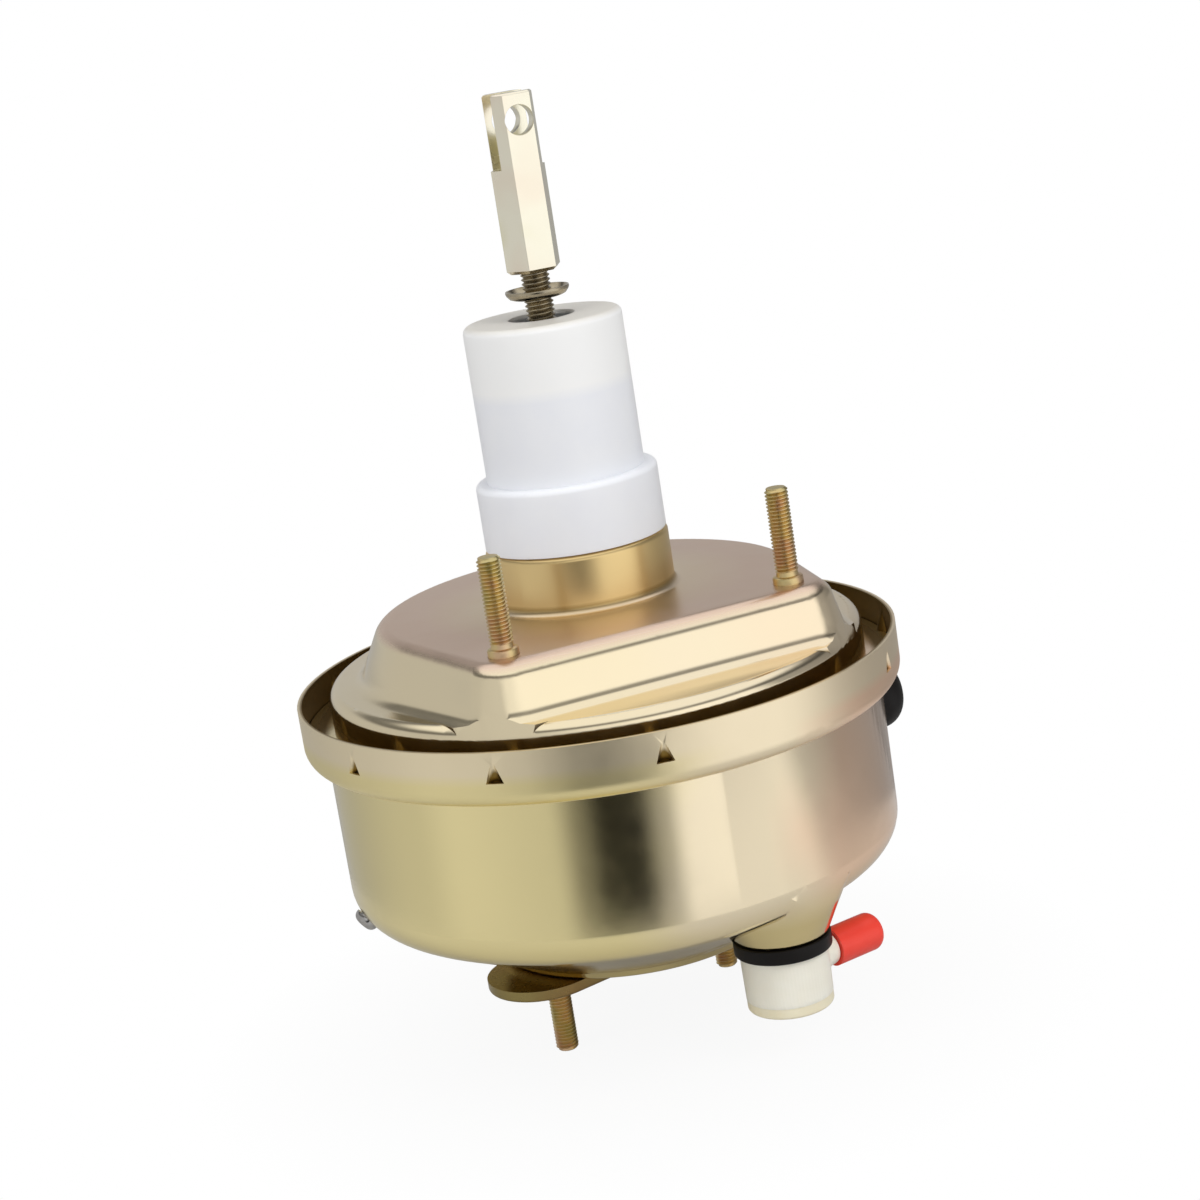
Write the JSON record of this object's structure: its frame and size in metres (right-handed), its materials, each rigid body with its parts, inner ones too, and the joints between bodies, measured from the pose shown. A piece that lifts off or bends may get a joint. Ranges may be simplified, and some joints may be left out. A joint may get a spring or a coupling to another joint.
{
  "type": "brake booster",
  "caption": "Round vacuum brake booster with a D-cut mounting face, studs, threaded push rod with clevis, check valve and transit caps.",
  "frame": {"origin": "centre of the rear mounting face, where the booster's axis meets the plateau", "axes": "+Z along the booster's axis towards the pedal clevis; -Y towards the flat, cut side of the mounting plateau; +X completes the right-handed frame"},
  "size_m": [0.2145, 0.211, 0.3292],
  "materials": {
    "zinc_shell": "yellow passivated zinc plate on pressed steel, slightly iridescent",
    "zinc_plate": "yellow passivated zinc plate on thick steel",
    "zinc_clevis": "pale yellow passivated zinc on turned and milled steel",
    "stud_steel": "brassy passivated zinc on rolled threads",
    "rod_steel": "dark oiled steel",
    "dark_steel": "dark tempered spring steel",
    "spring_steel": "bright drawn steel",
    "bright_steel": "bright nickel plated steel",
    "black_rubber": "moulded black rubber",
    "white_nylon": "natural white nylon",
    "cream_nylon": "cream nylon, welded",
    "milky_polyethylene": "thin milky translucent polyethylene",
    "red_polyethylene": "soft red polyethylene",
    "felt": "grey needled felt",
    "foam": "open-cell filter foam"
  },
  "bodies": {
    "housing": {"front_shell": "zinc_shell", "rear_shell": "zinc_shell", "master_cylinder_plate": "zinc_plate", "front_studs": "stud_steel", "rear_studs": "stud_steel", "rear_seal": "black_rubber", "seal_bearing_ring": "white_nylon", "output_rod_seal": "black_rubber", "check_valve_grommet": "black_rubber", "check_valve_body": "white_nylon", "check_valve_cover": "cream_nylon", "check_valve_spring": "spring_steel", "side_plug": "black_rubber", "shoulder_button": "bright_steel"},
    "piston": {"valve_body": "white_nylon", "diaphragm_plate": "spring_steel", "diaphragm": "black_rubber", "diaphragm_retainer": "spring_steel", "reaction_disc": "black_rubber", "output_rod": "rod_steel", "retaining_key": "spring_steel", "poppet_valve": "black_rubber", "poppet_retainer": "spring_steel", "poppet_spring": "spring_steel", "silencer": "felt", "air_filter": "foam", "return_spring": "spring_steel"},
    "output_tip": {"output_rod_tip": "rod_steel"},
    "plunger": {"valve_plunger": "rod_steel", "rod_return_spring": "spring_steel"},
    "input_rod": {"input_rod": "rod_steel", "rod_washer": "dark_steel"},
    "clevis": {"clevis": "zinc_clevis"},
    "check_disc": {"check_valve_disc": "black_rubber"},
    "transit_cap": {"transit_cap": "milky_polyethylene"},
    "nipple_cap": {"nipple_cap": "red_polyethylene"}
  },
  "joints": [
    {"name": "piston_stroke", "type": "slide", "parent": "housing", "child": "piston", "axis": [0, 0, -1], "range_m": [0, 0.032], "stiffness_N_per_m": 3000, "springref_m": -0.04, "deforming": ["return_spring", "diaphragm"]},
    {"name": "output_tip_turn", "type": "hinge", "parent": "piston", "child": "output_tip", "pos_m": [0, 0, -0.129], "axis": [0, 0, 1], "continuous": true},
    {"name": "plunger_travel", "type": "slide", "parent": "piston", "child": "plunger", "axis": [0, 0, -1], "range_m": [0, 0.0025], "stiffness_N_per_m": 2000, "springref_m": -0.01, "deforming": ["rod_return_spring"]},
    {"name": "rod_swivel", "type": "hinge", "parent": "plunger", "child": "input_rod", "pos_m": [0, 0, -0.02], "axis": [0, 1, 0], "range_deg": [-2, 2], "stiffness_Nm_per_rad": 4},
    {"name": "clevis_turn", "type": "hinge", "parent": "input_rod", "child": "clevis", "pos_m": [0, 0, 0.13], "axis": [0, 0, 1], "continuous": true},
    {"name": "check_disc_lift", "type": "slide", "parent": "housing", "child": "check_disc", "axis": [0, 0, -1], "range_m": [0, 0.002], "stiffness_N_per_m": 50, "springref_m": -0.004, "deforming": ["check_valve_spring"]},
    {"name": "transit_cap_pull", "type": "slide", "parent": "housing", "child": "transit_cap", "axis": [0, 0, 1], "range_m": [0, 0.16]},
    {"name": "nipple_cap_pull", "type": "slide", "parent": "housing", "child": "nipple_cap", "axis": [0.9781, 0.2079, 0], "range_m": [0, 0.025]}
  ]
}
